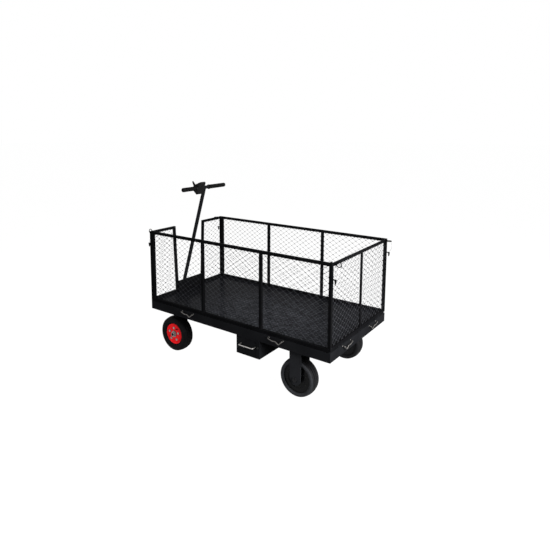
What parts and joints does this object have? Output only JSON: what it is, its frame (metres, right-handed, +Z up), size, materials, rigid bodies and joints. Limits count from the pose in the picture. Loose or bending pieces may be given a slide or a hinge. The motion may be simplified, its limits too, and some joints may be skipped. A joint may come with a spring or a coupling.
{
  "type": "electric platform cart",
  "caption": "Steel platform cart with a removable mesh cage, steered by a leaning drawbar handle on a turntable axle and driven by hub-motor rear wheels, with a battery drawer.",
  "frame": {"origin": "on the floor under the middle of the overall length and width", "axes": "+Z up, +X towards the tail panel, -Y towards the side with the battery drawer"},
  "size_m": [1.6551, 0.8515, 1.2506],
  "materials": {
    "frame_black": "satin black powder coat",
    "deck_paint": "dark grey tread plate",
    "mesh_wire": "black coated mesh",
    "zinc": "zinc plated",
    "black_steel": "black oxide",
    "lanyard_wire": "coated wire rope",
    "tyre": "matte",
    "solid_tyre": "solid rubber",
    "red_paint": "gloss red",
    "motor_black": "satin black",
    "grip_rubber": "matte ribbed",
    "head_plastic": "moulded black",
    "lens": "smoked clear",
    "key_metal": "nickel",
    "horn_plastic": "gloss",
    "battery_case": "moulded",
    "controller_metal": "cast"
  },
  "bodies": {
    "chassis": {"frame_rails": "frame_black", "cross_members": "frame_black", "deck_plate": "deck_paint", "rope_hooks": "zinc", "rear_fork_near": "frame_black", "rear_fork_far": "frame_black", "chassis_fasteners": "black_steel", "rear_axles": "black_steel", "turntable_plate": "frame_black", "kingpin": "black_steel", "battery_housing": "frame_black", "drawer_runners": "frame_black", "controller": "controller_metal", "front_board": "frame_black", "stub_frame_near": "frame_black", "stub_frame_far": "frame_black", "stub_mesh_near": "mesh_wire", "stub_mesh_far": "mesh_wire", "tail_hinges": "frame_black"},
    "steering": {"turntable_race": "frame_black", "axle_stand": "frame_black", "front_axle": "frame_black", "steering_fasteners": "zinc", "drawbar": "frame_black"},
    "front_wheel_near": {"front_tyre_near": "tyre", "front_rim_near": "red_paint", "front_hub_near": "zinc"},
    "front_wheel_far": {"front_tyre_far": "tyre", "front_rim_far": "red_paint", "front_hub_far": "zinc"},
    "handle": {"handle_tube": "frame_black", "t_bar": "frame_black", "grips": "grip_rubber", "control_head": "head_plastic", "gauge_lens": "lens"},
    "throttle": {"throttle_lever": "head_plastic"},
    "key": {"ignition_key": "key_metal"},
    "rocker": {"direction_rocker": "head_plastic"},
    "horn": {"horn_button": "horn_plastic"},
    "rear_wheel_near": {"rear_tyre_near": "solid_tyre", "motor_hub_near": "motor_black"},
    "rear_wheel_far": {"rear_tyre_far": "solid_tyre", "motor_hub_far": "motor_black"},
    "drawer": {"drawer_tray": "frame_black", "drawer_handle": "zinc", "battery_pack": "battery_case"},
    "side_near": {"side_frame_near": "frame_black", "side_mesh_near": "mesh_wire"},
    "side_far": {"side_frame_far": "frame_black", "side_mesh_far": "mesh_wire"},
    "tail": {"tail_frame": "frame_black", "tail_mesh": "mesh_wire"},
    "pin_tail_near": {"tail_pin_near": "black_steel", "tail_lanyard_near": "lanyard_wire"},
    "pin_tail_far": {"tail_pin_far": "black_steel", "tail_lanyard_far": "lanyard_wire"},
    "pin_handle_near": {"handle_pin_near": "black_steel", "handle_lanyard_near": "lanyard_wire"},
    "pin_handle_far": {"handle_pin_far": "black_steel", "handle_lanyard_far": "lanyard_wire"}
  },
  "joints": [
    {"name": "steer", "type": "hinge", "parent": "chassis", "child": "steering", "pos_m": [-0.545, 0, 0.289], "axis": [0, 0, 1], "range_deg": [-30, 30]},
    {"name": "front_spin_near", "type": "hinge", "parent": "steering", "child": "front_wheel_near", "pos_m": [-0.545, -0.31, 0.13], "axis": [0, 1, 0], "continuous": true},
    {"name": "front_spin_far", "type": "hinge", "parent": "steering", "child": "front_wheel_far", "pos_m": [-0.545, 0.31, 0.13], "axis": [0, 1, 0], "continuous": true},
    {"name": "handle_tilt", "type": "hinge", "parent": "steering", "child": "handle", "pos_m": [-0.811, 0, 0.285], "axis": [0, 1, 0], "range_deg": [-100, 0]},
    {"name": "throttle_press", "type": "hinge", "parent": "handle", "child": "throttle", "pos_m": [-0.53367, -0.096, 1.1978], "axis": [0, -1, 0], "range_deg": [0, 30], "stiffness_Nm_per_rad": 0.6},
    {"name": "key_turn", "type": "hinge", "parent": "handle", "child": "key", "pos_m": [-0.55397, -0.069, 1.21825], "axis": [0.5564, 0, -0.8309], "range_deg": [0, 90]},
    {"name": "rocker_tip", "type": "hinge", "parent": "handle", "child": "rocker", "pos_m": [-0.54981, -0.037, 1.21742], "axis": [0, 1, 0], "range_deg": [-10, 10]},
    {"name": "horn_press", "type": "slide", "parent": "handle", "child": "horn", "axis": [0.5564, 0, -0.8309], "range_m": [0, 0.003], "stiffness_N_per_m": 900},
    {"name": "rear_spin_near", "type": "hinge", "parent": "chassis", "child": "rear_wheel_near", "pos_m": [0.533, -0.32, 0.122], "axis": [0, 1, 0], "continuous": true},
    {"name": "rear_spin_far", "type": "hinge", "parent": "chassis", "child": "rear_wheel_far", "pos_m": [0.533, 0.32, 0.122], "axis": [0, 1, 0], "continuous": true},
    {"name": "drawer_slide", "type": "slide", "parent": "chassis", "child": "drawer", "axis": [0, -1, 0], "range_m": [0, 0.25]},
    {"name": "side_lift_near", "type": "slide", "parent": "chassis", "child": "side_near", "axis": [0, 0, 1], "range_m": [0, 0.3]},
    {"name": "side_lift_far", "type": "slide", "parent": "chassis", "child": "side_far", "axis": [0, 0, 1], "range_m": [0, 0.3]},
    {"name": "tail_fold", "type": "hinge", "parent": "chassis", "child": "tail", "pos_m": [0.7813, 0, 0.375], "axis": [0, 1, 0], "range_deg": [0, 90]},
    {"name": "pull_pin_tail_near", "type": "slide", "parent": "tail", "child": "pin_tail_near", "axis": [1, 0, 0], "range_m": [0, 0.045]},
    {"name": "pull_pin_tail_far", "type": "slide", "parent": "tail", "child": "pin_tail_far", "axis": [1, 0, 0], "range_m": [0, 0.045]},
    {"name": "pull_pin_handle_near", "type": "slide", "parent": "chassis", "child": "pin_handle_near", "axis": [-1, 0, 0], "range_m": [0, 0.045]},
    {"name": "pull_pin_handle_far", "type": "slide", "parent": "chassis", "child": "pin_handle_far", "axis": [-1, 0, 0], "range_m": [0, 0.045]}
  ]
}
